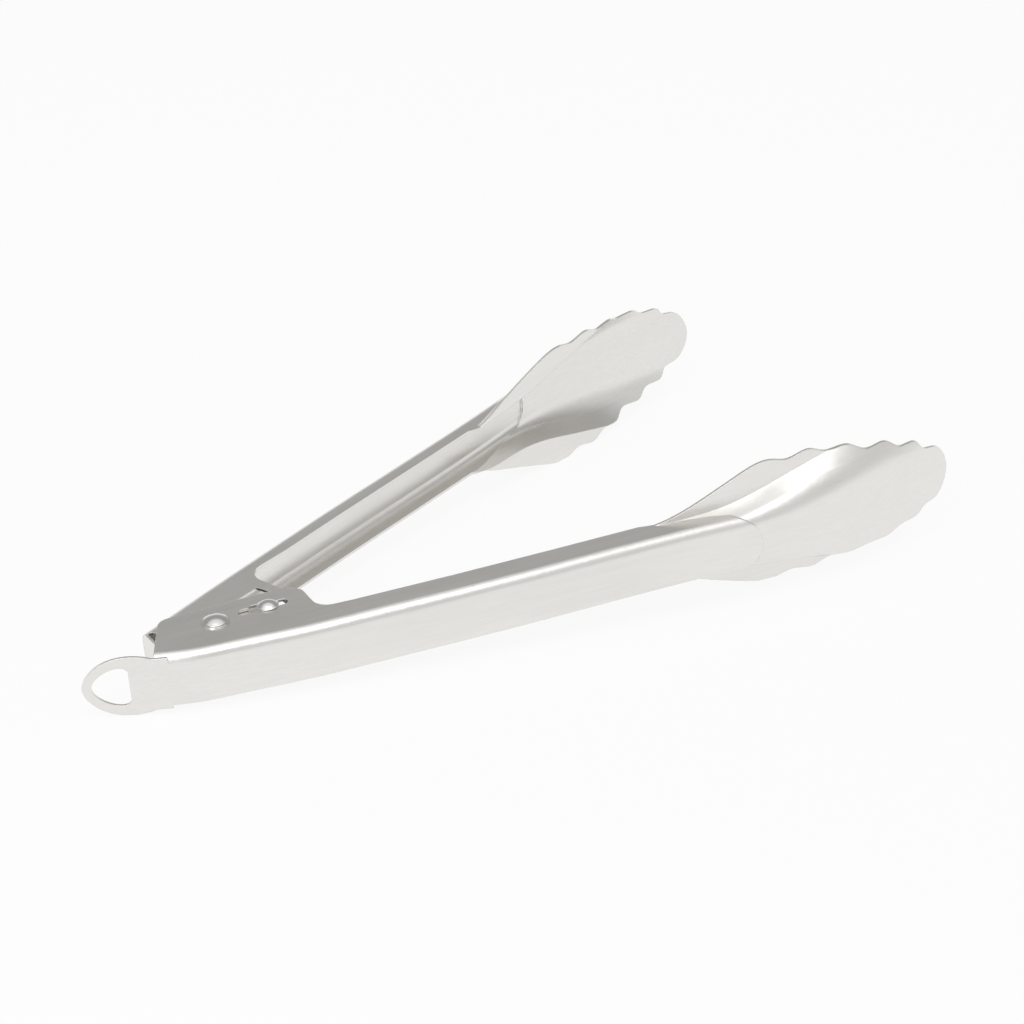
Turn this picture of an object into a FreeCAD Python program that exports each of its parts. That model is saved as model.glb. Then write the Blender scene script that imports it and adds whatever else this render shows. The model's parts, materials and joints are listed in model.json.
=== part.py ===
import FreeCAD, Part
import math
import os
from FreeCAD import Vector

# Spring loaded kitchen tongs in stainless sheet, lying on their side. Millimetres.
# Each arm is drawn in its own flat frame: u runs from the pivot to the tip, w outward, z along
# the pivot. The arms are then turned about the pivot, and the pivot's axis is parallel to +Z.

# Sheet and opening
sheet = 0.9                     # thickness of both arms
open_angle = 13.83              # each arm's turn from the middle plane, at rest
tip_reach = 250.0               # pivot to tip
ear_gap = 0.2                   # between the nested ears
big = 60.0                      # reach of a cutting block past the arm

# Channels
outer_half_height = 9.5
inner_half_height = outer_half_height - sheet - ear_gap
bend_radius = 3.4               # outside radius of the channel's bends
outer_flange_depth = 11.2
inner_flange_depth = 6.9
outer_end_lean = 21.5           # slant of the outer ears' pivot end
panel_end = 175.5               # where the raised web ends in the head
panel_round = 8.5               # length of its oval end
outer_web = [(-30, 8.3), (-22, 11.7), (-11, 14.9), (1, 16.3), (20, 18.4), (46, 19.9), (92, 21.7),
             (140, 22.6), (190, 25.8)]
inner_web = [(-30, 16.0), (-12, 17.1), (7, 18.3), (35, 19.6), (75, 21.0), (137, 22.4), (190, 25.8)]

# Plan outlines of the ears as (u, w, corner radius), and where the flanges' free edges start
outer_ear = [(-15.7, -9.1, 4.5), (26.6, -9.1, 4.0), (30.2, -5.0, 2.5), (31.2, 7.6, 5.5)]
inner_ear = [(-13.3, 9.0, 2.0), (-6.5, -6.5, 4.0), (2.0, -8.6, 3.0), (9.4, -8.6, 3.0),
             (21.8, -13.6, 1.5), (27.4, -9.0, 3.0), (27.4, 13.4, 6.5)]
outer_flange_start = 42.0
inner_flange_start = 46.0
flange_knots = [75.0, 108.0]

# Pivot and lock
rivet_radius = 2.0
rivet_head_radius = 4.0
rivet_head_rise = 1.4
washer_radius = 4.6
washer_thickness = 0.4
running_clearance = 0.05
sleeve_wall = 0.8
sleeve_end_gap = 0.3
pin_radius = 1.4
pin_head_radius = 3.45
pin_head_rise = 1.5
pin_head_gap = 0.15             # under the sliding heads
pin_rest = 17.5                 # along the slot from the pivot
pin_travel_in = 3.5
pin_travel_out = 4.5
slot_offset = 1.0               # slot's line, inward of the arm's own line
slot_clearance = 0.2
slot_near = 9.2                 # centres of the slot's round ends
slot_far = 22.4
slot_wide_radius = 2.5          # wider window in the slot
slot_wide_from = 13.2
slot_wide_to = 16.0
closing = 31.0                  # full closing turn of the inner arm
sweep_clearance = 0.35          # around the pin in the inner ears
catch_depth = 9.3               # pin's place along the arm when locked

# Spring
wire_radius = 0.8
spring_turns = 6                # whole turns, before the part turn between the legs
coil_gap = 0.12                 # between turns
coil_clearance = 0.35           # on the sleeve
leg_reach = 22.0                # where the legs press on the webs
leg_gap = 0.3

# Hanging loop, along the outer web's sloping end
loop_root = -21.5
loop_length = 25.2
loop_half_height = 10.3
loop_round = 14.5               # length of the loop's round end
neck_half_height = 9.0
loop_overlap = 2.0              # onto the web
loop_shoulder = 3.0             # straight part of the neck
loop_oval = (0.72, 0.66)        # a point on the round end, as shares of its length and height
eye_band = 2.9
eye_length = 11.8
eye_half_height = 6.3
eye_corner = 1.0
eye_oval = (0.66, 0.78)

# Stop tab on the inner arm's pivot end
tab_start = -15.6
tab_slant = 19.6                # degrees off square
tab_length = 17.6
tab_corner = 3.0
tab_slit = 0.4                  # between the tab and the ears
tab_set = 0.25                  # tab's edges below the arm's outer faces

# Heads: stations of the outer surface as (u, crown w, bend z, crease z, crease w, lip slope, bend r)
throat = 138.0
throat_drop = 2.0               # the head's form starts this far below the web
throat_bend = (3.2, 0.4, 2.2)   # bend and crease from the side wall, and the bend's radius
head_stations = [
    (152, 22.0, 7.0, 9.6, 14.2, -0.05, 2.6),
    (164, 22.9, 8.2, 10.2, 14.5, -0.10, 3.5),
    (176, 23.8, 9.2, 12.2, 14.3, -0.15, 5.0),
    (188, 23.7, 10.6, 15.3, 13.7, -0.18, 7.5),
    (201, 22.3, 12.0, 18.6, 12.8, -0.20, 10.0),
    (214, 19.8, 12.4, 21.2, 11.8, -0.20, 12.0),
    (227, 16.4, 11.6, 21.6, 10.6, -0.20, 13.0),
    (240, 12.4, 10.0, 21.6, 9.2, -0.20, 14.0),
    (254, 7.6, 8.0, 21.6, 6.6, -0.20, 16.0)]
lip_end = 25.0                  # half width of the head's blank before its rim is cut
crests = [(185.3, 21.6), (199.1, 21.6), (212.7, 19.8), (226.5, 17.3), (237.9, 13.4)]
scallop_depth = 1.2
scallop_lean = 0.38             # trough's place from one crest to the next
flare = [(143, 9.5), (151, 11.6), (161, 15.2), (173, 19.6)]
lobe = [(244.5, 9.6), (248.8, 5.0), (250, 0)]


def spline(points):
    curve = Part.BSplineCurve()
    curve.interpolate([Vector(x, y, 0) for x, y in points])
    return curve


def inset_points(points, distance):
    """Points of the same plan line moved inward, square to the line."""
    curve = spline(points)
    moved = []
    for x, y in points:
        tangent = curve.tangent(curve.parameter(Vector(x, y, 0)))[0]
        moved.append((x + tangent.y * distance, y - tangent.x * distance))
    return moved


def web_at(points, u):
    """Outward distance of the web's outer face at u."""
    line = Part.makeLine(Vector(u, -big, 0), Vector(u, big, 0))
    return line.distToShape(spline(points).toShape())[1][0][0].y


def prism(wire, low, high):
    """A flat outline in u and w, made solid between two heights."""
    wire.translate(Vector(0, 0, low))
    return Part.Face(wire).extrude(Vector(0, 0, high - low))


def polygon(points):
    return Part.makePolygon([Vector(x, y, 0) for x, y in points + points[:1]])


def side_prism(edges):
    """An outline in u and z, made solid right through the arm along w."""
    wire = Part.Wire(edges)
    wire.rotate(Vector(0, 0, 0), Vector(1, 0, 0), 90)
    wire.translate(Vector(0, big, 0))
    return Part.Face(wire).extrude(Vector(0, -2 * big, 0))


def rod(radius, low, high, x=0.0, y=0.0):
    return Part.makeCylinder(radius, high - low, Vector(x, y, low))


def channel_form(points, half_height, radius, inset):
    """The channel's filled shape, rounded along both outer edges."""
    line = inset_points(points, inset)
    curve = spline(line)
    first, last = line[0], line[-1]
    back = -big - inset
    ends = [Vector(*last, 0), Vector(last[0], back, 0), Vector(first[0], back, 0), Vector(*first, 0)]
    wire = Part.Wire([curve.toShape()] + Part.makePolygon(ends).Edges)
    solid = prism(wire, -half_height, half_height)
    middle = line[len(line) // 2]
    edges = []
    for side in (-1, 1):
        spot = Part.Vertex(Vector(middle[0], middle[1], side * half_height))
        edges.append(min(solid.Edges, key=lambda edge: edge.distToShape(spot)[0]))
    return solid.makeFillet(radius, edges)


def corner(a, b, c, d):
    """Where the line through a and b meets the line through c and d."""
    denominator = (b[0] - a[0]) * (d[1] - c[1]) - (b[1] - a[1]) * (d[0] - c[0])
    t = ((c[0] - a[0]) * (d[1] - c[1]) - (c[1] - a[1]) * (d[0] - c[0])) / denominator
    return (a[0] + t * (b[0] - a[0]), a[1] + t * (b[1] - a[1]))


def shifted(a, b, distance):
    """The segment from a to b moved to its right by distance."""
    length = math.hypot(b[0] - a[0], b[1] - a[1])
    dx = (b[1] - a[1]) / length * distance
    dy = -(b[0] - a[0]) / length * distance
    return (a[0] + dx, a[1] + dy), (b[0] + dx, b[1] + dy)


def head_section(station, inset, floor):
    """Closed outline of a head across u: crown, bends, flanks, lips and a flat back."""
    u, crown, bend_z, crease_z, crease_w, slope, radius = station
    a, b, c = (0.0, crown), (bend_z, crown), (crease_z, crease_w)
    d = (lip_end, crease_w + slope * (lip_end - crease_z))
    crown_line = shifted(a, b, inset)
    flank = shifted(b, c, inset)
    lip = shifted(c, d, inset)
    b = corner(*crown_line, *flank)
    c = corner(*flank, *lip)
    d = corner(*lip, (lip_end, 0), (lip_end, 1))
    turn = math.atan2(b[1] - c[1], c[0] - b[0])
    reach = (radius - inset) * math.tan(turn / 2)
    start = (b[0] - reach, b[1])
    end = (b[0] + reach * math.cos(turn), b[1] - reach * math.sin(turn))
    half = (radius - inset) * math.sin(turn / 2), (radius - inset) * (1 - math.cos(turn / 2))
    middle = (start[0] + half[0], b[1] - half[1])

    def at(point, side=1):
        return Vector(u, point[1], side * point[0])

    edges = [Part.makeLine(at(start, -1), at(start))]
    edges.append(Part.Arc(at(start), at(middle), at(end)).toShape())
    edges.append(Part.makeLine(at(end), at(c)))
    edges.append(Part.makeLine(at(c), at(d)))
    edges.append(Part.makeLine(at(d), at((d[0], floor))))
    edges.append(Part.makeLine(at((d[0], floor)), at((d[0], floor), -1)))
    edges.append(Part.makeLine(at((d[0], floor), -1), at(d, -1)))
    edges.append(Part.makeLine(at(d, -1), at(c, -1)))
    edges.append(Part.makeLine(at(c, -1), at(end, -1)))
    edges.append(Part.Arc(at(end, -1), at(middle, -1), at(start, -1)).toShape())
    return Part.Wire(edges)


def head_form(web, half_height, flange_depth, inset):
    """The head's filled shape, lofted from inside the channel's throat to past the tip."""
    crown = web_at(web, throat)
    bend, crease, radius = throat_bend
    first = (throat, crown - throat_drop, half_height - bend, half_height - crease,
             crown - flange_depth + sheet, 0.0, radius)
    floor = -big - inset
    wires = [head_section(station, inset, floor) for station in [first] + head_stations]
    return Part.makeLoft(wires, True, False)


def rim_points():
    points = list(flare) + [crests[0]]
    for (u0, z0), (u1, z1) in zip(crests, crests[1:] + lobe[:1]):
        length = math.hypot(u1 - u0, z1 - z0)
        u = u0 + scallop_lean * (u1 - u0) + scallop_depth * (z1 - z0) / length
        z = z0 + scallop_lean * (z1 - z0) - scallop_depth * (u1 - u0) / length
        points += [(u, z), (u1, z1)]
    return points + lobe[1:]


def blank_outline(half_height):
    """Everything inside the arm's side outline: straight channel, flared throat, scalloped rim."""
    half = rim_points()
    whole = half + [(u, -z) for u, z in half[-2::-1]]
    start, end = Vector(whole[0][0], half_height, 0), Vector(whole[0][0], -half_height, 0)
    whole[0] = (start.x, start.y)
    whole[-1] = (end.x, end.y)
    back = [end, Vector(-big, -half_height, 0), Vector(-big, half_height, 0), start]
    return side_prism([spline(whole).toShape()] + Part.makePolygon(back).Edges)


def panel_outline(half_height):
    """The channel's own outline: straight, with an oval end on the head."""
    straight = panel_end - panel_round
    top, bottom = Vector(straight, half_height, 0), Vector(straight, -half_height, 0)
    tip = Vector(panel_end, 0, 0)
    end = Part.Arc(top, tip, bottom)
    back = [bottom, Vector(-big, -half_height, 0), Vector(-big, half_height, 0), top]
    return side_prism([end.toShape()] + Part.makePolygon(back).Edges)


def rounded(wire, radii):
    """Rounds a polygon's corners by the radii given, corner by corner."""
    points = [vertex.Point for vertex in wire.OrderedVertexes]
    edges = []
    ends = []
    for index, point in enumerate(points):
        before, after = points[index - 1], points[(index + 1) % len(points)]
        radius = radii[index]
        toward, away = (before - point).normalize(), (after - point).normalize()
        angle = toward.getAngle(away)
        reach = radius / math.tan(angle / 2)
        start, end = point + toward * reach, point + away * reach
        bisector = (toward + away).normalize()
        middle = point + bisector * (radius / math.sin(angle / 2) - radius)
        ends.append((start, middle, end, radius))
    for index, (start, middle, end, radius) in enumerate(ends):
        if radius > 0:
            edges.append(Part.Arc(start, middle, end).toShape())
        following = ends[(index + 1) % len(ends)][0]
        if end.distanceToPoint(following) > 1e-6:
            edges.append(Part.makeLine(end, following))
    return Part.Wire(edges)


def arm_sheet(web, half_height, flange_depth, plan):
    """One arm in sheet: channel and head hollowed together, cut to its side and plan outlines."""
    shells = []
    for inset in (0.0, sheet):
        channel = channel_form(web, half_height - inset, bend_radius - inset, inset)
        channel = channel.common(panel_outline(half_height - inset))
        head = head_form(web, half_height, flange_depth, inset)
        shells.append(channel.fuse(head))
    blank = shells[0].common(blank_outline(half_height))
    return blank.cut(shells[1]).common(plan)


def plan_outline(ear, web, flange_depth, flange_start):
    """Plan outline of an arm: its end and ear, then the flange's free edge to the head."""
    stops = [flange_start] + flange_knots + [throat]
    edge = [(u, web_at(web, u) - flange_depth, 0.0) for u in stops]
    far = tip_reach + big
    points = ear + edge + [(throat, -big, 0.0), (far, -big, 0.0), (far, big, 0.0)]
    wire = rounded(polygon([point[:2] for point in points]), [point[2] for point in points])
    return prism(wire, -2 * lip_end, 2 * lip_end)


def oval_end(start, end, half, share):
    """Round end between two points at start, through the shares given of its length and height."""
    knot = (start + share[0] * (end - start), share[1] * half)
    return [(start, half), knot, (end, 0.0), (knot[0], -knot[1]), (start, -half)]


def loop_plate():
    """The hanging loop: a flat plate along the web's sloping end, with a D-shaped eye."""
    neck = neck_half_height
    outline = oval_end(loop_round - loop_length, -loop_length, loop_half_height, loop_oval)
    outline = [(-loop_shoulder, neck)] + outline + [(-loop_shoulder, -neck)]
    root = [Vector(-loop_shoulder, -neck, 0), Vector(loop_overlap, -neck, 0),
            Vector(loop_overlap, neck, 0), Vector(-loop_shoulder, neck, 0)]
    plate = prism(Part.Wire([spline(outline).toShape()] + Part.makePolygon(root).Edges), 0.0, sheet)
    eye_end = eye_band - loop_length
    flat = eye_end + eye_length
    half = eye_half_height
    arch = spline(oval_end(flat - eye_corner, eye_end, half, eye_oval)).toShape()
    side = [Vector(flat - eye_corner, -half, 0), Vector(flat, eye_corner - half, 0),
            Vector(flat, half - eye_corner, 0), Vector(flat - eye_corner, half, 0)]
    plate = plate.cut(prism(Part.Wire([arch] + Part.makePolygon(side).Edges), -sheet, 2 * sheet))
    curve = spline(outer_web)
    root = Vector(loop_root, web_at(outer_web, loop_root), 0)
    tangent = curve.tangent(curve.parameter(root))[0]
    slope = math.degrees(math.atan2(tangent.y, tangent.x))
    plate.rotate(Vector(0, 0, 0), Vector(1, 0, 0), 90)
    plate.rotate(Vector(0, 0, 0), Vector(0, 0, 1), slope)
    plate.translate(root)
    return plate


def slot_cut():
    """The lock pin's slot through both outer ears, with its wider window."""
    line = -slot_offset
    width = pin_radius + slot_clearance
    low, high = -2 * big, 2 * big
    pieces = []
    for radius, start, end in ((width, slot_near, slot_far),
                               (slot_wide_radius, slot_wide_from, slot_wide_to)):
        bar = Part.makeBox(end - start, 2 * radius, high - low, Vector(start, line - radius, low))
        pieces += [bar, rod(radius, low, high, start, line), rod(radius, low, high, end, line)]
    return pieces[0].multiFuse(pieces[1:])


def outer_arm():
    """Arm with the hanging loop, in its own frame."""
    u, w, _ = outer_ear[0]
    end = [(u - math.tan(math.radians(outer_end_lean)) * (big - w), big, 0.0)]
    plan = plan_outline(end + outer_ear, outer_web, outer_flange_depth, outer_flange_start)
    arm = arm_sheet(outer_web, outer_half_height, outer_flange_depth, plan)
    arm = arm.fuse(loop_plate())
    arm = arm.cut(rod(rivet_radius + running_clearance, -big, big)).cut(slot_cut())
    return arm


def lock_window():
    """Opening in the inner ears: the pin's sweep as the arms close, and the catch it drops into."""
    low, high = -big, big
    width = pin_radius + sweep_clearance
    near, far = pin_rest - pin_travel_in, pin_rest + pin_travel_out
    opened, closed = -2 * open_angle, closing - 2 * open_angle
    ring = rod(far + width, low, high).cut(rod(near - width, low, high))
    lean = math.degrees(math.atan2(slot_offset, far))
    start = math.radians(opened + lean)
    side = far * math.sin(math.radians(closed + lean)) + pin_radius + 3 * sweep_clearance
    wedge = polygon([(0, 0), (big * math.cos(start), big * math.sin(start)), (big, side), (0, side)])
    pieces = []
    for angle, first, last in ((opened, near, far), (closed, catch_depth, near + width)):
        bar = Part.makeBox(last - first, 2 * width, high - low, Vector(first, slot_offset - width, low))
        ends = [rod(width, low, high, first, slot_offset), rod(width, low, high, last, slot_offset)]
        bar = bar.multiFuse(ends)
        bar.rotate(Vector(0, 0, 0), Vector(0, 0, 1), angle)
        pieces.append(bar)
    return ring.common(prism(wedge, low, high)).multiFuse(pieces)


def stop_tab():
    """Tab bent in across the inner arm's pivot end; it meets the outer web when fully open."""
    height = inner_half_height
    face = web_at(inner_web, tab_start)
    plate = Part.makeBox(sheet, tab_length, 2 * height, Vector(0, -tab_length, -height))
    edges = [edge for edge in plate.Edges if abs(edge.CenterOfMass.y + tab_length) < 0.01]
    edges = [edge for edge in edges if abs(abs(edge.CenterOfMass.z) - height) < 0.01]
    plate = plate.makeFillet(tab_corner, edges)
    plate.rotate(Vector(0, 0, 0), Vector(0, 0, 1), -tab_slant)
    plate.translate(Vector(tab_start, face, 0))
    return plate


def inner_arm():
    """Arm whose ears nest inside the other's, with the lock's window and the stop tab."""
    fold = web_at(inner_web, tab_start) - bend_radius
    ear_start = tab_start + sheet + tab_slit
    end = [(tab_start, big, 0.0), (tab_start, fold + tab_slit, 0.0), (ear_start, fold, 0.0)]
    plan = plan_outline(end + inner_ear, inner_web, inner_flange_depth, inner_flange_start)
    arm = arm_sheet(inner_web, inner_half_height, inner_flange_depth, plan)
    height, radius = inner_half_height - tab_set, bend_radius - tab_set
    tab = stop_tab().common(channel_form(inner_web, height, radius, tab_set))
    hole = rod(rivet_radius + running_clearance, -big, big)
    return arm.fuse(tab).cut(hole).cut(lock_window())


def domed_rod(radius, head_radius, rise, face):
    """A shank with a low domed head past each face."""
    shape = rod(radius, -face, face)
    sphere_radius = (head_radius ** 2 + rise ** 2) / (2 * rise)
    ball = Part.makeSphere(sphere_radius, Vector(0, 0, face + rise - sphere_radius))
    dome = ball.common(rod(head_radius, face, face + rise + 1))
    return shape.multiFuse([dome, dome.mirror(Vector(0, 0, 0), Vector(0, 0, 1))]).removeSplitter()


def pivot_washer(side):
    low = outer_half_height if side > 0 else -outer_half_height - washer_thickness
    washer = rod(washer_radius, low, low + washer_thickness)
    return washer.cut(rod(rivet_radius + running_clearance, -big, big))


def pivot_sleeve():
    half = inner_half_height - sheet - sleeve_end_gap
    inner = rivet_radius + running_clearance
    return rod(inner + sleeve_wall, -half, half).cut(rod(inner, -big, big))


def leg_end(web, side):
    """Where a spring leg presses on the inside of an arm's web, in the shared frame."""
    w = web_at(web, leg_reach) - sheet - leg_gap - wire_radius
    turn = math.radians(open_angle)
    x = leg_reach * math.cos(turn) - w * math.sin(turn)
    y = leg_reach * math.sin(turn) + w * math.cos(turn)
    return Vector(x, side * y, 0)


def torsion_spring():
    """Coil round the sleeve, with a straight leg to each arm's web."""
    radius = rivet_radius + running_clearance + sleeve_wall + coil_clearance + wire_radius
    pitch = 2 * wire_radius + coil_gap
    ends = []
    for web, side in ((outer_web, -1), (inner_web, 1)):
        end = leg_end(web, side)
        away = math.atan2(end.y, end.x)
        ends.append((end, away - side * math.acos(radius / end.Length)))
    (low_end, low_angle), (high_end, high_angle) = ends
    turns = spring_turns + (high_angle - low_angle) / (2 * math.pi) % 1.0
    height = pitch * turns
    coil = Part.makeHelix(pitch, height, radius)
    coil.rotate(Vector(0, 0, 0), Vector(0, 0, 1), math.degrees(low_angle))
    coil.translate(Vector(0, 0, -height / 2))
    coil = coil.Edges[0]
    start, end = [vertex.Point for vertex in coil.Vertexes]
    low_end.z, high_end.z = start.z, end.z
    path = Part.Wire([Part.makeLine(low_end, start), coil, Part.makeLine(end, high_end)])
    ring = Part.Wire(Part.makeCircle(wire_radius, low_end, start - low_end))
    return path.makePipeShell([ring], True, True, 0)


def lock_pin():
    face = outer_half_height + pin_head_gap
    pin = domed_rod(pin_radius, pin_head_radius, pin_head_rise, face)
    pin.translate(Vector(pin_rest, -slot_offset, 0))
    return pin


def turned(shape, side):
    """An arm or pin from its own frame into the shared frame."""
    placed = shape.copy()
    if side < 0:
        placed.rotate(Vector(0, 0, 0), Vector(1, 0, 0), 180)
    placed.rotate(Vector(0, 0, 0), Vector(0, 0, 1), side * open_angle)
    return placed


def build_all():
    shapes = {
        "outer_arm": turned(outer_arm(), -1),
        "inner_arm": turned(inner_arm(), 1),
        "pivot_rivet": domed_rod(rivet_radius, rivet_head_radius, rivet_head_rise,
                                 outer_half_height + washer_thickness),
        "pivot_washer_upper": pivot_washer(1),
        "pivot_washer_lower": pivot_washer(-1),
        "pivot_sleeve": pivot_sleeve(),
        "torsion_spring": torsion_spring(),
        "lock_pin": turned(lock_pin(), -1)}
    box = Part.makeCompound(list(shapes.values())).optimalBoundingBox(False, False)
    origin = Vector(-(box.XMin + box.XMax) / 2, -(box.YMin + box.YMax) / 2, -box.ZMin)
    print("pivot axis at", [round(value, 3) for value in origin])
    os.makedirs("parts", exist_ok=True)
    for node, shape in shapes.items():
        shape.translate(origin)
        shape.exportStep(os.path.join("parts", node + ".step"))
        box = shape.optimalBoundingBox(False, False)
        print(node, len(shape.Solids), shape.isValid(), round(shape.Volume, 1),
              [round(v, 2) for v in (box.XMin, box.YMin, box.ZMin, box.XMax, box.YMax, box.ZMax)])


build_all()
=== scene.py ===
import bpy
import json
import math
from mathutils import Matrix, Vector


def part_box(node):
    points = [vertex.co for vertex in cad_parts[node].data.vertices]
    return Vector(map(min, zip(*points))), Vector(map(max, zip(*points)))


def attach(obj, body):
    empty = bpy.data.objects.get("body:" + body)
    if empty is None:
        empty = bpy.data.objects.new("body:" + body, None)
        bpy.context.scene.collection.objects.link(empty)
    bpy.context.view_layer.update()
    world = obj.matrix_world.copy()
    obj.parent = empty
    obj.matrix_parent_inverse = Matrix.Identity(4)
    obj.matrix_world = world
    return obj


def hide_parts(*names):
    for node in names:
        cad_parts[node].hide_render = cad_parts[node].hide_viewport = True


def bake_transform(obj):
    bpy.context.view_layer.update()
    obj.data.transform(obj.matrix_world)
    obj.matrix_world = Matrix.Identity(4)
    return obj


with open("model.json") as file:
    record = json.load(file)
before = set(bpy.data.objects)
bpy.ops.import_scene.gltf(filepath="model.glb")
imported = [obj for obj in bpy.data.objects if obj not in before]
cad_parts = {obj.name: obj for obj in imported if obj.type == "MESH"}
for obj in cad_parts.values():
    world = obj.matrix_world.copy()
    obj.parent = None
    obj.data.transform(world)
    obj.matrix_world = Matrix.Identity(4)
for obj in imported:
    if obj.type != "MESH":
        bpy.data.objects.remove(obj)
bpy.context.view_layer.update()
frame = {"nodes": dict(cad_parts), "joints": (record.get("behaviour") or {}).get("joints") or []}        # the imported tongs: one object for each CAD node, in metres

cadNodes = frame["nodes"]
pivotPlace = Vector(frame["joints"][0]["pos_m"])
millimetre = 0.001
armTurn = math.radians(13.83)     # each arm's turn from the middle line
scene = bpy.context.scene


# modelling helpers

def startPiece():
    if bpy.context.object and bpy.context.object.mode != "OBJECT":
        bpy.ops.object.mode_set(mode="OBJECT")
    bpy.ops.object.select_all(action="DESELECT")


def pickPoints(piece, wanted):
    bpy.ops.object.mode_set(mode="EDIT")
    bpy.ops.mesh.select_mode(type="VERT")
    bpy.ops.mesh.select_all(action="DESELECT")
    bpy.ops.object.mode_set(mode="OBJECT")
    for point in piece.data.vertices:
        point.select = wanted(point.co)
    bpy.ops.object.mode_set(mode="EDIT")


def moveTo(piece, place):
    bpy.ops.object.mode_set(mode="OBJECT")
    piece.location = place
    bpy.ops.object.transform_apply(location=True, rotation=True, scale=True)


def finishPiece(piece, name, coat, angle):
    bpy.ops.object.mode_set(mode="OBJECT")
    piece.name = name
    piece.data.name = name
    piece.data.materials.clear()
    piece.data.materials.append(coat)
    bpy.ops.object.shade_smooth_by_angle(angle=math.radians(angle))
    print("made", name, len(piece.data.polygons), "faces")


# shader groups shared by the steel finishes

def newGroup(name, inputs, outputs):
    group = bpy.data.node_groups.new(name, "ShaderNodeTree")
    for label, kind, value in inputs:
        socket = group.interface.new_socket(name=label, in_out="INPUT", socket_type=kind)
        if value is not None:
            socket.default_value = value
    for label, kind in outputs:
        group.interface.new_socket(name=label, in_out="OUTPUT", socket_type=kind)
    return group, group.nodes.new("NodeGroupInput"), group.nodes.new("NodeGroupOutput")


def addMath(tree, kind, first, second=None, third=None, clamp=False):
    node = tree.nodes.new("ShaderNodeMath")
    node.operation = kind
    node.use_clamp = clamp
    for index, value in enumerate((first, second, third)):
        if isinstance(value, (int, float)):
            node.inputs[index].default_value = value
        elif value is not None:
            tree.links.new(value, node.inputs[index])
    return node.outputs[0]


def addNoise(tree, coordinates, scale, detail, stretch):
    spread = tree.nodes.new("ShaderNodeMapping")
    spread.inputs["Scale"].default_value = stretch
    noise = tree.nodes.new("ShaderNodeTexNoise")
    noise.inputs["Detail"].default_value = detail
    if isinstance(scale, (int, float)):
        noise.inputs["Scale"].default_value = scale
    else:
        tree.links.new(scale, noise.inputs["Scale"])
    tree.links.new(coordinates, spread.inputs["Vector"])
    tree.links.new(spread.outputs["Vector"], noise.inputs["Vector"])
    return noise.outputs["Fac"]


def brushedGrain():                # fine lines along X of the coordinates it is given
    group, given, result = newGroup(
        "brushedGrain",
        [("Coordinates", "NodeSocketVector", None), ("Line Scale", "NodeSocketFloat", 900.0)],
        [("Lines", "NodeSocketFloat"), ("Bands", "NodeSocketFloat")])
    place, size = given.outputs["Coordinates"], given.outputs["Line Scale"]
    fine = addNoise(group, place, size, 3.0, (0.035, 1.0, 1.0))
    coarse = addNoise(group, place, addMath(group, "MULTIPLY", size, 0.28), 2.0, (0.03, 1.0, 1.0))
    lines = addMath(group, "ADD", addMath(group, "MULTIPLY", fine, 0.6),
                    addMath(group, "MULTIPLY", coarse, 0.4))
    group.links.new(lines, result.inputs["Lines"])
    group.links.new(coarse, result.inputs["Bands"])
    return group


def handledFilm():                 # soft cloudy patches and a few pale spots from wiping
    group, given, result = newGroup(
        "handledFilm",
        [("Coordinates", "NodeSocketVector", None)],
        [("Film", "NodeSocketFloat"), ("Spots", "NodeSocketFloat")])
    place = given.outputs["Coordinates"]
    cloud = addNoise(group, place, 34.0, 3.0, (1.0, 1.0, 1.0))
    speck = addNoise(group, place, 420.0, 1.0, (1.0, 1.0, 1.0))
    film = addMath(group, "MULTIPLY_ADD", cloud, 2.2, -0.6, clamp=True)
    spots = addMath(group, "MULTIPLY_ADD", speck, 9.0, -6.2, clamp=True)
    group.links.new(film, result.inputs["Film"])
    group.links.new(spots, result.inputs["Spots"])
    return group


def edgeWear():                    # bright worn edges, and the rounded normal that they shine with
    group, given, result = newGroup(
        "edgeWear",
        [("Radius", "NodeSocketFloat", 0.0004), ("Reach", "NodeSocketFloat", 4.0)],
        [("Wear", "NodeSocketFloat"), ("Normal", "NodeSocketVector")])
    bevel = group.nodes.new("ShaderNodeBevel")
    bevel.samples = 6
    group.links.new(given.outputs["Radius"], bevel.inputs["Radius"])
    shape = group.nodes.new("ShaderNodeNewGeometry")
    turn = group.nodes.new("ShaderNodeVectorMath")
    turn.operation = "DOT_PRODUCT"
    group.links.new(bevel.outputs["Normal"], turn.inputs[0])
    group.links.new(shape.outputs["Normal"], turn.inputs[1])
    away = addMath(group, "SUBTRACT", 1.0, turn.outputs["Value"])
    wear = addMath(group, "MULTIPLY", away, given.outputs["Reach"], clamp=True)
    group.links.new(wear, result.inputs["Wear"])
    group.links.new(bevel.outputs["Normal"], result.inputs["Normal"])
    return group


grainGroup, filmGroup, wearGroup = brushedGrain(), handledFilm(), edgeWear()
print("shader groups ready")


# steel finishes

def placeGroup(tree, group, values=()):
    node = tree.nodes.new("ShaderNodeGroup")
    node.node_tree = group
    for label, value in dict(values).items():
        node.inputs[label].default_value = value
    return node


def blendColour(tree, amount, first, second):
    node = tree.nodes.new("ShaderNodeMix")
    node.data_type = "RGBA"
    tree.links.new(amount, node.inputs["Factor"])
    for index, value in ((6, first), (7, second)):
        if isinstance(value, tuple):
            node.inputs[index].default_value = (*value, 1.0)
        else:
            tree.links.new(value, node.inputs[index])
    return node.outputs[2]


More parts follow.
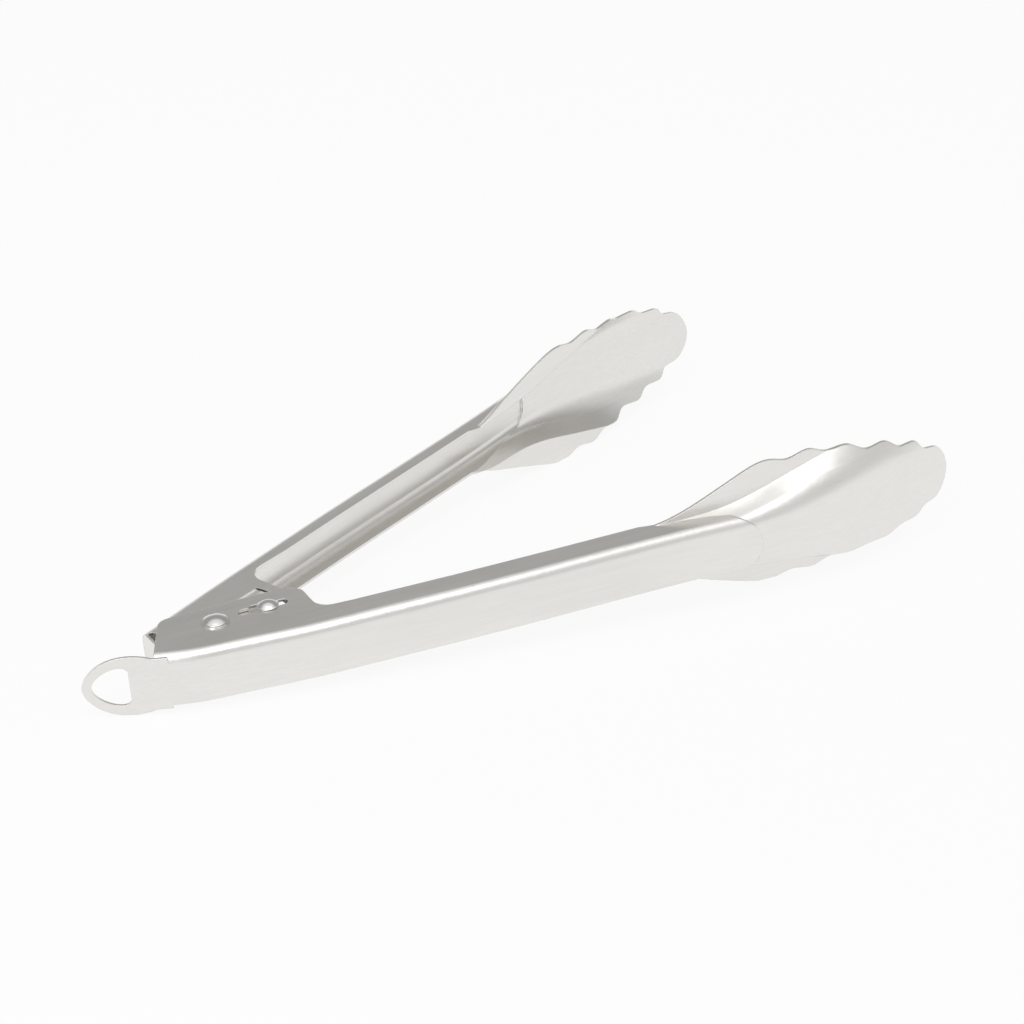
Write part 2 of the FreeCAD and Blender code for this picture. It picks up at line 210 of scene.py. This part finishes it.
def steelFinish(name, look):
    coat = bpy.data.materials.new(name)
    coat.use_nodes = True
    tree = coat.node_tree
    shader = tree.nodes["Principled BSDF"]
    shader.inputs["Metallic"].default_value = 1.0
    place = tree.nodes.new("ShaderNodeTexCoord")
    turned = tree.nodes.new("ShaderNodeMapping")
    turned.inputs["Rotation"].default_value = (0.0, 0.0, look["turn"])
    tree.links.new(place.outputs["Object"], turned.inputs["Vector"])
    grain = placeGroup(tree, grainGroup, {"Line Scale": look["lineScale"]})
    film = placeGroup(tree, filmGroup)
    wear = placeGroup(tree, wearGroup, {"Radius": look["edgeRadius"], "Reach": look["edgeReach"]})
    tree.links.new(turned.outputs["Vector"], grain.inputs["Coordinates"])
    tree.links.new(turned.outputs["Vector"], film.inputs["Coordinates"])
    brushed = blendColour(tree, grain.outputs["Lines"], look["dark"], look["light"])
    filmed = blendColour(tree, addMath(tree, "MULTIPLY", film.outputs["Film"], look["filmTint"]),
                         brushed, look["filmColour"])
    worn = blendColour(tree, addMath(tree, "MULTIPLY", wear.outputs["Wear"], look["wearTint"]),
                       filmed, look["edgeColour"])
    tree.links.new(worn, shader.inputs["Base Color"])
    base = addMath(tree, "MULTIPLY_ADD", grain.outputs["Bands"], look["roughSpread"], look["rough"])
    clouded = addMath(tree, "MULTIPLY_ADD", film.outputs["Film"], look["filmRough"], base)
    spotted = addMath(tree, "MULTIPLY_ADD", film.outputs["Spots"], 0.05, clouded)
    smoothed = addMath(tree, "MULTIPLY_ADD", wear.outputs["Wear"], -look["edgePolish"], spotted,
                       clamp=True)
    tree.links.new(smoothed, shader.inputs["Roughness"])
    bump = tree.nodes.new("ShaderNodeBump")
    bump.inputs["Strength"].default_value = look["bump"]
    bump.inputs["Distance"].default_value = 0.00002
    tree.links.new(grain.outputs["Lines"], bump.inputs["Height"])
    tree.links.new(wear.outputs["Normal"], bump.inputs["Normal"])
    tree.links.new(bump.outputs["Normal"], shader.inputs["Normal"])
    print("finish", name)
    return coat


sheetLook = {
    "lineScale": 1500.0, "dark": (0.76, 0.745, 0.715), "light": (0.88, 0.873, 0.852),
    "filmTint": 0.10, "filmColour": (0.72, 0.70, 0.665), "filmRough": 0.05,
    "rough": 0.22, "roughSpread": 0.12, "bump": 0.35,
    "edgeRadius": 0.00035, "edgeReach": 3.0, "edgeColour": (0.90, 0.895, 0.885),
    "edgePolish": 0.10, "wearTint": 0.7}
fastenerLook = {
    "lineScale": 2600.0, "dark": (0.70, 0.69, 0.68), "light": (0.84, 0.83, 0.82),
    "filmTint": 0.12, "filmColour": (0.60, 0.585, 0.56), "filmRough": 0.05,
    "rough": 0.14, "roughSpread": 0.08, "bump": 0.25, "turn": 0.6,
    "edgeRadius": 0.00025, "edgeReach": 3.0, "edgeColour": (0.90, 0.90, 0.89),
    "edgePolish": 0.05, "wearTint": 0.6}
wireLook = {
    "lineScale": 3200.0, "dark": (0.46, 0.45, 0.43), "light": (0.66, 0.65, 0.63),
    "filmTint": 0.25, "filmColour": (0.36, 0.34, 0.31), "filmRough": 0.10,
    "rough": 0.20, "roughSpread": 0.12, "bump": 0.4, "turn": 0.9,
    "edgeRadius": 0.0001, "edgeReach": 2.0, "edgeColour": (0.72, 0.71, 0.70),
    "edgePolish": 0.05, "wearTint": 0.4}

outerSheet = steelFinish("outerSheet", dict(sheetLook, turn=armTurn))
innerSheet = steelFinish("innerSheet", dict(sheetLook, turn=-armTurn))
rivetSteel = steelFinish("rivetSteel", fastenerLook)
washerSteel = steelFinish("washerSteel", dict(fastenerLook, rough=0.20, filmTint=0.3, turn=0.2))
springSteel = steelFinish("springSteel", wireLook)


def dressNode(name, coat):
    for slot in cadNodes[name].material_slots:
        slot.material = coat
    if not cadNodes[name].material_slots:
        cadNodes[name].data.materials.append(coat)


dressNode("outer_arm", outerSheet)
dressNode("inner_arm", innerSheet)
dressNode("pivot_washer_upper", washerSteel)
dressNode("pivot_washer_lower", washerSteel)
dressNode("pivot_sleeve", washerSteel)
print("CAD nodes dressed")


# pivot rivet and lock pin, each a lathe turned profile

rivetShape = {"shank": 2.0, "head": 4.0, "rise": 1.4, "face": 9.9, "rimRise": 0.30, "rimRound": 0.16,
              "crown": 9, "steps": 72}
pinShape = {"shank": 1.4, "head": 3.45, "rise": 1.5, "face": 9.65, "rimRise": 0.34, "rimRound": 0.18,
            "crown": 9, "steps": 64, "along": 17.5, "across": 1.0}


def headProfile(shape):            # half of the section, from the head's top to the shank's middle
    rise, rim = shape["rise"], shape["rimRise"]
    reach = shape["head"] - shape["rimRound"]
    ball = (reach ** 2 + (rise - rim) ** 2) / (2 * (rise - rim))
    points = []
    for step in range(shape["crown"]):
        radius = reach * step / (shape["crown"] - 1)
        points.append((radius, shape["face"] + rise - ball + math.sqrt(ball ** 2 - radius ** 2)))
    for turn in (35, 65, 90):      # rolled rim
        angle = math.radians(turn)
        points.append((reach + shape["rimRound"] * math.sin(angle),
                       shape["face"] + rim - shape["rimRound"] * (1 - math.cos(angle))))
    points.append((shape["head"], shape["face"] + 0.08))
    points.append((shape["head"] - 0.08, shape["face"]))
    points.append((shape["shank"], shape["face"]))
    return points


def turnedRod(name, shape, place, coat):
    half = headProfile(shape)
    profile = half + [(radius, -height) for radius, height in reversed(half)]
    startPiece()
    bpy.ops.mesh.primitive_plane_add(size=millimetre, location=(0, 0, 0))
    piece = bpy.context.object
    bpy.ops.object.mode_set(mode="EDIT")
    bpy.ops.mesh.select_all(action="SELECT")
    bpy.ops.mesh.merge(type="CENTER")
    bpy.ops.transform.translate(value=(0, 0, profile[0][1] * millimetre))
    for (radius, height), (nextRadius, nextHeight) in zip(profile, profile[1:]):
        step = Vector((nextRadius - radius, 0, nextHeight - height)) * millimetre
        bpy.ops.mesh.extrude_region_move(TRANSFORM_OT_translate={"value": step})
    bpy.ops.mesh.select_all(action="SELECT")
    bpy.ops.mesh.spin(steps=shape["steps"], angle=2 * math.pi, center=(0, 0, 0), axis=(0, 0, 1))
    bpy.ops.mesh.select_all(action="SELECT")
    bpy.ops.mesh.remove_doubles(threshold=0.00001)
    bpy.ops.mesh.normals_make_consistent(inside=False)
    moveTo(piece, place)
    finishPiece(piece, name, coat, 40)
    return piece


rivet = turnedRod("rivetTurned", rivetShape, pivotPlace, rivetSteel)
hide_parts("pivot_rivet")
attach(rivet, "outer")

along, across = pinShape["along"] * millimetre, pinShape["across"] * millimetre
pinPlace = pivotPlace + Vector((along * math.cos(armTurn) + across * math.sin(armTurn),
                                -along * math.sin(armTurn) + across * math.cos(armTurn), 0))
pin = turnedRod("lockPinTurned", pinShape, pinPlace, rivetSteel)
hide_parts("lock_pin")
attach(pin, "lock")


# torsion spring: a coil with a straight leg to each web

springShape = {"wire": 0.8, "coil": 4.0, "pitch": 1.72, "turns": 6, "sides": 14, "steps": 36,
               "outerLeg": (17.4, -21.3), "innerLeg": (17.3, 21.7), "cutRound": 0.2}


def springAngle(leg, side):        # where on the coil the leg leaves it square to its radius
    reach = math.hypot(*leg)
    return math.atan2(leg[1], leg[0]) - side * math.acos(springShape["coil"] / reach)


def woundSpring():
    low = springAngle(springShape["outerLeg"], -1)
    high = springAngle(springShape["innerLeg"], 1)
    turns = springShape["turns"] + (high - low) / (2 * math.pi) % 1.0
    height = springShape["pitch"] * turns * millimetre
    coil, wire = springShape["coil"] * millimetre, springShape["wire"] * millimetre
    startPiece()
    start = Vector((coil * math.cos(low), coil * math.sin(low), -height / 2))
    bpy.ops.mesh.primitive_circle_add(vertices=springShape["sides"], radius=wire, location=start,
                                      rotation=(math.pi / 2, 0, low))
    piece = bpy.context.object
    bpy.ops.object.transform_apply(location=True, rotation=True, scale=True)
    screw = piece.modifiers.new("winding", "SCREW")
    screw.axis = "Z"
    screw.angle = 2 * math.pi * turns
    screw.screw_offset = height
    screw.steps = screw.render_steps = round(springShape["steps"] * turns)
    bpy.ops.object.modifier_apply(modifier="winding")
    for leg, angle, level in ((springShape["outerLeg"], low, -height / 2),
                              (springShape["innerLeg"], high, height / 2)):
        root = Vector((coil * math.cos(angle), coil * math.sin(angle), level))
        outward = Vector((leg[0], leg[1], 0)) * millimetre + Vector((0, 0, level)) - root
        line = Vector((-math.sin(angle), math.cos(angle), 0))
        pickPoints(piece, lambda place: (place - root).length < wire * 1.02
                   and abs((place - root).dot(line)) < wire * 0.02)
        for share in (0.04, 0.46, 0.47):
            bpy.ops.mesh.extrude_region_move(TRANSFORM_OT_translate={"value": outward * share})
        bpy.ops.mesh.extrude_region_move(TRANSFORM_OT_translate={"value": outward * 0.03})
        bpy.ops.mesh.edge_face_add()
        bpy.ops.mesh.bevel(offset=springShape["cutRound"] * millimetre, segments=2)
    bpy.ops.mesh.select_all(action="SELECT")
    bpy.ops.mesh.remove_doubles(threshold=0.000005)
    bpy.ops.mesh.normals_make_consistent(inside=False)
    moveTo(piece, pivotPlace)
    finishPiece(piece, "springWound", springSteel, 50)
    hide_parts("torsion_spring")
    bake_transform(piece)


woundSpring()


# floor, light and camera

studio = {"floorSize": 5.0, "headLine": 0.085, "loopStart": -0.05, "shine": 0.88, "floorColour": 0.86}


def paleFloor():
    startPiece()
    headLine, rivetBase = studio["headLine"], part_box("pivot_rivet")[0]
    rests = [Vector((pivotPlace.x, 0, rivetBase[2]))]
    rests += [vertex.co for vertex in cadNodes["outer_arm"].data.vertices
              if vertex.co.x < studio["loopStart"]]
    slope = min(math.atan2(place.z, headLine - place.x) for place in rests)
    bpy.ops.mesh.primitive_plane_add(size=studio["floorSize"], location=(headLine, 0, -0.0002),
                                     rotation=(0, slope, 0))
    floor = bpy.context.object
    floor.name = "paleFloor"
    paper = bpy.data.materials.new("floorPaper")
    paper.use_nodes = True
    tree = paper.node_tree
    tree.nodes.remove(tree.nodes["Principled BSDF"])
    matt = tree.nodes.new("ShaderNodeBsdfDiffuse")
    matt.inputs["Color"].default_value = (studio["floorColour"],) * 3 + (1.0,)
    glow = tree.nodes.new("ShaderNodeEmission")
    glow.inputs["Strength"].default_value = 1.0
    path = tree.nodes.new("ShaderNodeLightPath")
    seen = addMath(tree, "MAXIMUM", path.outputs["Is Camera Ray"], path.outputs["Is Glossy Ray"])
    seen = addMath(tree, "MAXIMUM", seen, path.outputs["Is Transmission Ray"])
    blend = tree.nodes.new("ShaderNodeMixShader")
    tree.links.new(addMath(tree, "MULTIPLY", seen, studio["shine"]), blend.inputs["Fac"])
    tree.links.new(matt.outputs[0], blend.inputs[1])
    tree.links.new(glow.outputs[0], blend.inputs[2])
    tree.links.new(blend.outputs[0], tree.nodes["Material Output"].inputs["Surface"])
    floor.data.materials.append(paper)


roomLight = {
    "farSide": (0.56, 0.83, 0.0),  # away from the front of the table
    "far": [(0.0, 1.0), (0.54, 1.0), (0.63, 0.44), (0.86, 0.36), (0.93, 0.9), (1.0, 1.0)],
    "near": [(0, 1), (0.56, 0.80), (0.64, 0.72), (0.82, 0.74), (0.90, 0.84),
             (0.95, 1.0), (1, 1.0)],
    "tint": (1.0, 0.985, 0.96)}


def levelRamp(tree, height, stops):   # brightness against height, from the floor to overhead
    ramp = tree.nodes.new("ShaderNodeValToRGB")
    points = ramp.color_ramp.elements
    while len(points) < len(stops):
        points.new(1.0)
    for point, (place, level) in zip(points, stops):
        point.position = place
        warm = [1.0 + (tone - 1.0) * max(0.0, 1.0 - level) * 1.6 for tone in roomLight["tint"]]
        point.color = (*[level * tone for tone in warm], 1.0)
    tree.links.new(height, ramp.inputs["Fac"])
    return ramp.outputs["Color"]


def softRoom():
    room = bpy.data.worlds.new("softRoom")
    scene.world = room
    room.use_nodes = True
    tree = room.node_tree
    place = tree.nodes.new("ShaderNodeTexCoord")
    split = tree.nodes.new("ShaderNodeSeparateXYZ")
    tree.links.new(place.outputs["Generated"], split.inputs[0])
    height = addMath(tree, "MULTIPLY_ADD", split.outputs["Z"], 0.5, 0.5)
    side = tree.nodes.new("ShaderNodeVectorMath")
    side.operation = "DOT_PRODUCT"
    side.inputs[1].default_value = roomLight["farSide"]
    tree.links.new(place.outputs["Generated"], side.inputs[0])
    farness = addMath(tree, "MULTIPLY_ADD", side.outputs["Value"], 2.0, 0.5, clamp=True)
    far = levelRamp(tree, height, roomLight["far"])
    near = levelRamp(tree, height, roomLight["near"])
    level = blendColour(tree, farness, near, far)
    path = tree.nodes.new("ShaderNodeLightPath")
    shown = blendColour(tree, path.outputs["Is Camera Ray"], level, (1.0, 1.0, 1.0))
    tree.links.new(shown, tree.nodes["Background"].inputs["Color"])
    tree.nodes["Background"].inputs["Strength"].default_value = 1.0


lamps = {
    "overheadBox": {"place": (-0.10, -0.35, 1.15), "size": 0.9, "power": 3.0},
    "sideBox": {"place": (-0.95, -0.55, 0.75), "size": 0.7, "power": 3.0}}


def hangLamp(name, plan):
    startPiece()
    place = pivotPlace + Vector(plan["place"])
    aim = Vector((0.03, 0, 0)) - place
    bpy.ops.object.light_add(type="AREA", location=place, rotation=aim.to_track_quat("-Z", "Y").to_euler())
    lamp = bpy.context.object
    lamp.name = name
    lamp.data.size = plan["size"]
    lamp.data.energy = plan["power"]


cameraPlan = {
    "azimuth": -34.073, "elevation": 29.448, "roll": -4.607,      # degrees about the pivot
    "distance": 1.05181, "across": 0.0907685, "up": 0.0419735, "lens": 119.44}


def placeCamera():
    azimuth, elevation, roll = (math.radians(cameraPlan[key]) for key in ("azimuth", "elevation", "roll"))
    back = Vector((math.sin(azimuth) * math.cos(elevation), -math.cos(azimuth) * math.cos(elevation),
                   math.sin(elevation)))
    level = Vector((0, 0, 1)).cross(back).normalized()
    rise = back.cross(level)
    right = math.cos(roll) * level + math.sin(roll) * rise
    top = math.cos(roll) * rise - math.sin(roll) * level
    turn = Matrix((right, top, back)).transposed()
    place = (pivotPlace + cameraPlan["across"] * right + cameraPlan["up"] * top
             + cameraPlan["distance"] * back)
    startPiece()
    bpy.ops.object.camera_add(location=place, rotation=turn.to_euler())
    camera = bpy.context.object
    camera.name = "tableCamera"
    camera.data.sensor_width = 36.0
    camera.data.lens = cameraPlan["lens"]
    scene.camera = camera


paleFloor()
softRoom()
for lampName, lampPlan in lamps.items():
    hangLamp(lampName, lampPlan)
placeCamera()
scene.view_settings.view_transform = "Standard"
print("studio ready")
